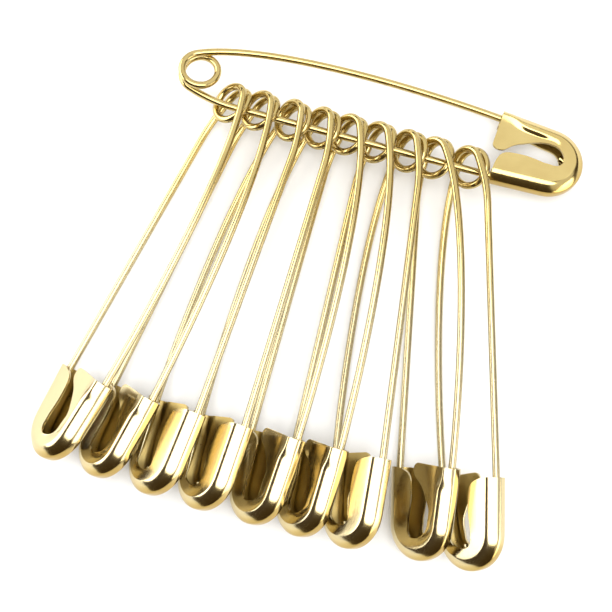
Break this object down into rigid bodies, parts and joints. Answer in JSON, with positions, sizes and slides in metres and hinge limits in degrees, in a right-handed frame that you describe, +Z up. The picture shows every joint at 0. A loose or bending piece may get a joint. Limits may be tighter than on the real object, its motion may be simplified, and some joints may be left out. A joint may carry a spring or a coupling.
{
  "type": "safety pin bunch",
  "caption": "Closed gold-coloured safety pins strung by their spring coils on the back arm of a carrier pin. Each wire ends in a folded sheet clasp and opens at its coil.",
  "frame": {"origin": "middle of the bunch, on the surface that it lies on", "axes": "+Z up, +X along the carrier pin from its coil towards its clasp, and the strung pins lie towards -Y"},
  "size_m": [0.0564, 0.0558, 0.009],
  "materials": {
    "wire_metal": "polished brass plating on drawn spring wire",
    "clasp_metal": "polished brass plating on folded sheet"
  },
  "bodies": {
    "carrier": {"carrier_back_arm": "wire_metal", "carrier_coil": "wire_metal", "carrier_clasp": "clasp_metal"},
    "carrier_needle": {"carrier_needle_arm": "wire_metal", "carrier_needle_point": "wire_metal"},
    "pin1": {"pin1_back_arm": "wire_metal", "pin1_coil": "wire_metal", "pin1_clasp": "clasp_metal"},
    "pin1_needle": {"pin1_needle_arm": "wire_metal", "pin1_needle_point": "wire_metal"},
    "pin2": {"pin2_back_arm": "wire_metal", "pin2_coil": "wire_metal", "pin2_clasp": "clasp_metal"},
    "pin2_needle": {"pin2_needle_arm": "wire_metal", "pin2_needle_point": "wire_metal"},
    "pin3": {"pin3_back_arm": "wire_metal", "pin3_coil": "wire_metal", "pin3_clasp": "clasp_metal"},
    "pin3_needle": {"pin3_needle_arm": "wire_metal", "pin3_needle_point": "wire_metal"},
    "pin4": {"pin4_back_arm": "wire_metal", "pin4_coil": "wire_metal", "pin4_clasp": "clasp_metal"},
    "pin4_needle": {"pin4_needle_arm": "wire_metal", "pin4_needle_point": "wire_metal"},
    "pin5": {"pin5_back_arm": "wire_metal", "pin5_coil": "wire_metal", "pin5_clasp": "clasp_metal"},
    "pin5_needle": {"pin5_needle_arm": "wire_metal", "pin5_needle_point": "wire_metal"},
    "pin6": {"pin6_back_arm": "wire_metal", "pin6_coil": "wire_metal", "pin6_clasp": "clasp_metal"},
    "pin6_needle": {"pin6_needle_arm": "wire_metal", "pin6_needle_point": "wire_metal"},
    "pin7": {"pin7_back_arm": "wire_metal", "pin7_coil": "wire_metal", "pin7_clasp": "clasp_metal"},
    "pin7_needle": {"pin7_needle_arm": "wire_metal", "pin7_needle_point": "wire_metal"},
    "pin8": {"pin8_back_arm": "wire_metal", "pin8_coil": "wire_metal", "pin8_clasp": "clasp_metal"},
    "pin8_needle": {"pin8_needle_arm": "wire_metal", "pin8_needle_point": "wire_metal"},
    "pin9": {"pin9_back_arm": "wire_metal", "pin9_coil": "wire_metal", "pin9_clasp": "clasp_metal"},
    "pin9_needle": {"pin9_needle_arm": "wire_metal", "pin9_needle_point": "wire_metal"}
  },
  "joints": [
    {"name": "carrier_opening", "type": "hinge", "parent": "carrier", "child": "carrier_needle", "pos_m": [-0.0203, 0.02242, 0.00359], "axis": [0.0184, 0.238, 0.9711], "range_deg": [0, 40], "deforming": ["carrier_coil", "carrier_needle_point"]},
    {"name": "pin1_swing", "type": "hinge", "parent": "carrier", "child": "pin1", "pos_m": [-0.01541, 0.01921, 0.00367], "axis": [1, 0, 0], "range_deg": [-105, 105]},
    {"name": "pin1_opening", "type": "hinge", "parent": "pin1", "child": "pin1_needle", "pos_m": [-0.01535, 0.01951, 0.00367], "axis": [-0.6889, 0.1596, 0.707], "range_deg": [0, 40], "deforming": ["pin1_coil", "pin1_needle_point"]},
    {"name": "pin2_swing", "type": "hinge", "parent": "carrier", "child": "pin2", "pos_m": [-0.0119, 0.01921, 0.00367], "axis": [1, 0, 0], "range_deg": [-105, 105]},
    {"name": "pin2_opening", "type": "hinge", "parent": "pin2", "child": "pin2_needle", "pos_m": [-0.01186, 0.01951, 0.00367], "axis": [-0.6848, 0.117, 0.7193], "range_deg": [0, 40], "deforming": ["pin2_coil", "pin2_needle_point"]},
    {"name": "pin3_swing", "type": "hinge", "parent": "carrier", "child": "pin3", "pos_m": [-0.00816, 0.01921, 0.00367], "axis": [1, 0, 0], "range_deg": [-105, 105]},
    {"name": "pin3_opening", "type": "hinge", "parent": "pin3", "child": "pin3_needle", "pos_m": [-0.00812, 0.01951, 0.00367], "axis": [0.6886, -0.0939, -0.7191], "range_deg": [0, 40], "deforming": ["pin3_coil", "pin3_needle_point"]},
    {"name": "pin4_swing", "type": "hinge", "parent": "carrier", "child": "pin4", "pos_m": [-0.00447, 0.01921, 0.00367], "axis": [1, 0, 0], "range_deg": [-105, 105]},
    {"name": "pin4_opening", "type": "hinge", "parent": "pin4", "child": "pin4_needle", "pos_m": [-0.00445, 0.01951, 0.00367], "axis": [0.6926, -0.0577, -0.7191], "range_deg": [0, 40], "deforming": ["pin4_coil", "pin4_needle_point"]},
    {"name": "pin5_swing", "type": "hinge", "parent": "carrier", "child": "pin5", "pos_m": [-0.00087, 0.01921, 0.00367], "axis": [1, 0, 0], "range_deg": [-105, 105]},
    {"name": "pin5_opening", "type": "hinge", "parent": "pin5", "child": "pin5_needle", "pos_m": [-0.00087, 0.01951, 0.00367], "axis": [-0.6947, -0.0024, 0.7193], "range_deg": [0, 40], "deforming": ["pin5_coil", "pin5_needle_point"]},
    {"name": "pin6_swing", "type": "hinge", "parent": "carrier", "child": "pin6", "pos_m": [0.00273, 0.01921, 0.00367], "axis": [1, 0, 0], "range_deg": [-105, 105]},
    {"name": "pin6_opening", "type": "hinge", "parent": "pin6", "child": "pin6_needle", "pos_m": [0.00271, 0.01951, 0.00367], "axis": [-0.7307, -0.0327, 0.6819], "range_deg": [0, 40], "deforming": ["pin6_coil", "pin6_needle_point"]},
    {"name": "pin7_swing", "type": "hinge", "parent": "carrier", "child": "pin7", "pos_m": [0.00627, 0.01921, 0.00367], "axis": [1, 0, 0], "range_deg": [-105, 105]},
    {"name": "pin7_opening", "type": "hinge", "parent": "pin7", "child": "pin7_needle", "pos_m": [0.00624, 0.01951, 0.00366], "axis": [0.7302, 0.0478, -0.6815], "range_deg": [0, 40], "deforming": ["pin7_coil", "pin7_needle_point"]},
    {"name": "pin8_swing", "type": "hinge", "parent": "carrier", "child": "pin8", "pos_m": [0.00981, 0.01921, 0.00367], "axis": [1, 0, 0], "range_deg": [-105, 105]},
    {"name": "pin8_opening", "type": "hinge", "parent": "pin8", "child": "pin8_needle", "pos_m": [0.00975, 0.01951, 0.00367], "axis": [-0.68, -0.1421, 0.7193], "range_deg": [0, 40], "deforming": ["pin8_coil", "pin8_needle_point"]},
    {"name": "pin9_swing", "type": "hinge", "parent": "carrier", "child": "pin9", "pos_m": [0.01385, 0.01921, 0.00367], "axis": [1, 0, 0], "range_deg": [-105, 105]},
    {"name": "pin9_opening", "type": "hinge", "parent": "pin9", "child": "pin9_needle", "pos_m": [0.01378, 0.0195, 0.00367], "axis": [0.6781, 0.1521, -0.7191], "range_deg": [0, 40], "deforming": ["pin9_coil", "pin9_needle_point"]}
  ],
  "couplings": [
    {"joint": "pin2_swing", "follows": "pin1_swing", "ratio": 1},
    {"joint": "pin3_swing", "follows": "pin1_swing", "ratio": 1},
    {"joint": "pin4_swing", "follows": "pin1_swing", "ratio": 1},
    {"joint": "pin5_swing", "follows": "pin1_swing", "ratio": 1},
    {"joint": "pin6_swing", "follows": "pin1_swing", "ratio": 1},
    {"joint": "pin7_swing", "follows": "pin1_swing", "ratio": 1},
    {"joint": "pin8_swing", "follows": "pin1_swing", "ratio": 1},
    {"joint": "pin9_swing", "follows": "pin1_swing", "ratio": 1}
  ]
}
